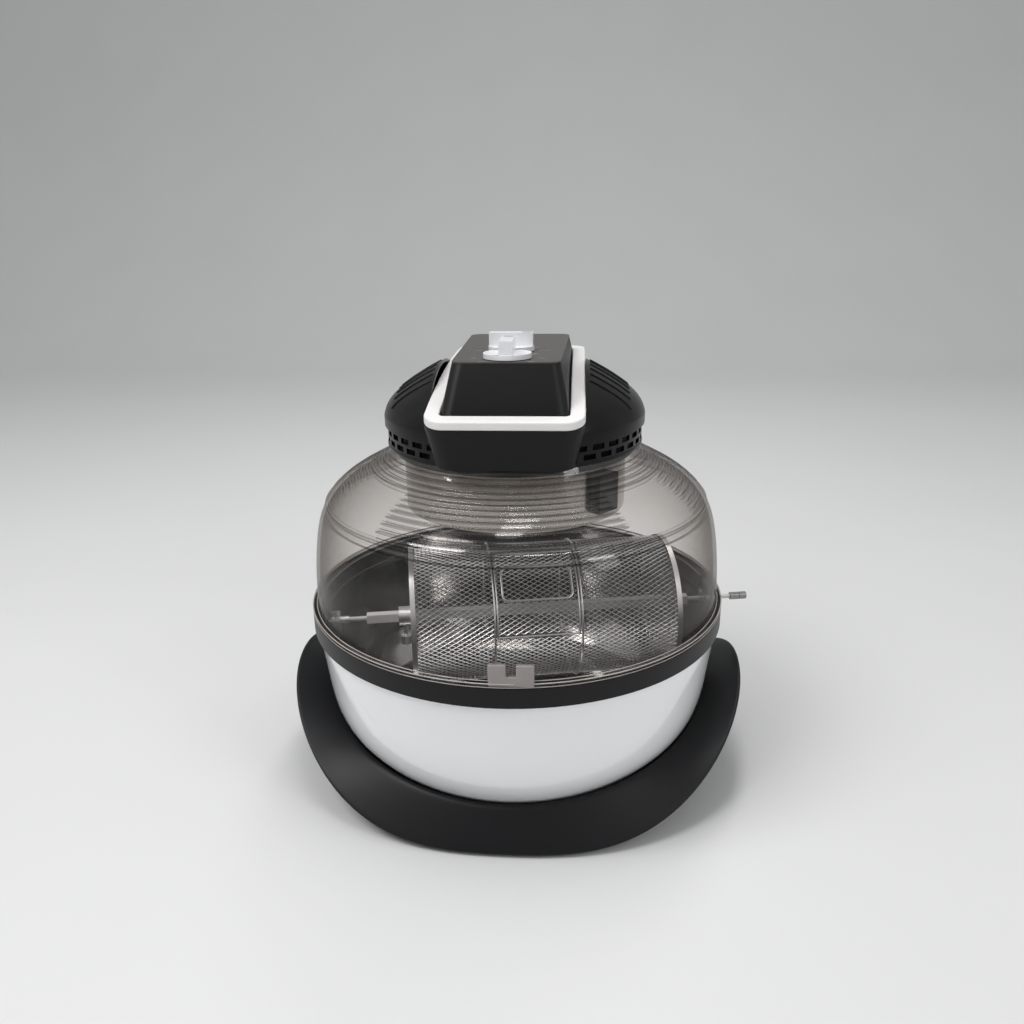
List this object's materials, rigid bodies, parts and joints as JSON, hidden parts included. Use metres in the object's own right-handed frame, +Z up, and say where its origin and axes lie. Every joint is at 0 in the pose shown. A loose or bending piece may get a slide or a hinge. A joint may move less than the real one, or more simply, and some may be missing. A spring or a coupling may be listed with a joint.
{
  "type": "rotisserie oven",
  "caption": "Countertop rotisserie oven: a round bowl on a stand with side ears, a clear domed lid, a turning mesh basket and a heater head with two control knobs.",
  "frame": {"origin": "middle of the plane the stand rests on, on the upright axis of bowl, dome and head", "axes": "+Z up, -Y towards the front and the nose of the head, the stand's ears along X; the spit lies 11 degrees off X, turned about +Z"},
  "size_m": [0.4331, 0.38, 0.4052],
  "materials": {
    "black_plastic": "fine-grained matte black plastic",
    "panel_plastic": "satin black control panel",
    "foot_rubber": "matte rubber",
    "white_plastic": "glossy white plastic",
    "knob_white": "satin white plastic",
    "pointer_grey": "grey insert",
    "smoky_clear": "clear plastic with a smoky brown tint",
    "polished_steel": "polished stainless sheet",
    "chrome_wire": "plated wire and expanded sheet",
    "dark_steel": "plain steel",
    "bearing_nylon": "moulded nylon",
    "lamp_glass": "quartz tube",
    "fan_aluminium": "stamped aluminium",
    "gland_rubber": "black rubber bush"
  },
  "bodies": {
    "base": {"stand": "black_plastic", "foot_ring": "foot_rubber"},
    "bowl": {"outer_bowl": "white_plastic", "inner_pan": "polished_steel", "rim_collar": "black_plastic", "motor_bracket": "black_plastic", "spit_bearing_left": "dark_steel", "spit_bearing_right": "bearing_nylon"},
    "spit": {"spit_rod": "chrome_wire", "spit_coupling": "dark_steel", "spit_bush": "chrome_wire", "end_disc_left": "polished_steel", "end_disc_right": "polished_steel", "thumb_screws": "chrome_wire", "basket_shell": "chrome_wire", "basket_hoops": "chrome_wire", "door_hinge_rod": "chrome_wire"},
    "door": {"basket_door": "chrome_wire", "door_loop": "chrome_wire"},
    "lid": {"dome": "smoky_clear"},
    "head": {"head_plate": "dark_steel", "bayonet_ring": "black_plastic", "vent_grille_left": "black_plastic", "vent_grille_right": "black_plastic", "head_cap_left": "black_plastic", "head_cap_right": "black_plastic", "head_pod": "black_plastic", "control_frame": "white_plastic", "control_box": "black_plastic", "control_panel": "panel_plastic", "timer_switch": "bearing_nylon", "thermostat_switch": "bearing_nylon", "heater_shroud": "polished_steel", "heater_guard": "chrome_wire", "heat_reflector": "polished_steel", "heater_lamp": "lamp_glass", "heater_clips": "dark_steel", "fan_motor": "dark_steel", "motor_posts": "dark_steel", "terminal_block": "bearing_nylon", "thermal_cutout": "bearing_nylon", "cord_gland": "gland_rubber", "head_screws": "dark_steel", "sensor_housing": "black_plastic"},
    "timer": {"timer_knob": "knob_white", "timer_knob_pointer": "pointer_grey", "timer_knob_shaft": "bearing_nylon"},
    "temperature": {"temperature_knob": "knob_white", "temperature_knob_pointer": "pointer_grey", "temperature_knob_shaft": "bearing_nylon"},
    "fan": {"fan_shaft": "dark_steel", "oven_fan": "fan_aluminium", "cooling_fan": "fan_aluminium"}
  },
  "joints": [
    {"name": "bowl_lift", "type": "slide", "parent": "base", "child": "bowl", "axis": [0, 0, 1], "range_m": [0, 0.12]},
    {"name": "lid_lift", "type": "slide", "parent": "bowl", "child": "lid", "axis": [0, 0, 1], "range_m": [0, 0.2]},
    {"name": "head_twist", "type": "hinge", "parent": "lid", "child": "head", "pos_m": [0, 0, 0.309], "axis": [0, 0, 1], "range_deg": [0, 20]},
    {"name": "spit_spin", "type": "hinge", "parent": "bowl", "child": "spit", "pos_m": [0, 0, 0.139], "axis": [0.9816, 0.1908, 0], "continuous": true},
    {"name": "door_swing", "type": "hinge", "parent": "spit", "child": "door", "pos_m": [0.01447, -0.00895, 0.20447], "axis": [-0.9816, -0.1908, 0], "range_deg": [0, 50]},
    {"name": "timer_turn", "type": "hinge", "parent": "head", "child": "timer", "pos_m": [0, -0.07, 0.39], "axis": [0, 0, -1], "range_deg": [0, 300]},
    {"name": "temperature_turn", "type": "hinge", "parent": "head", "child": "temperature", "pos_m": [0, -0.027, 0.39], "axis": [0, 0, -1], "range_deg": [0, 270]},
    {"name": "fan_spin", "type": "hinge", "parent": "head", "child": "fan", "pos_m": [0, 0, 0.3], "axis": [0, 0, 1], "continuous": true}
  ]
}
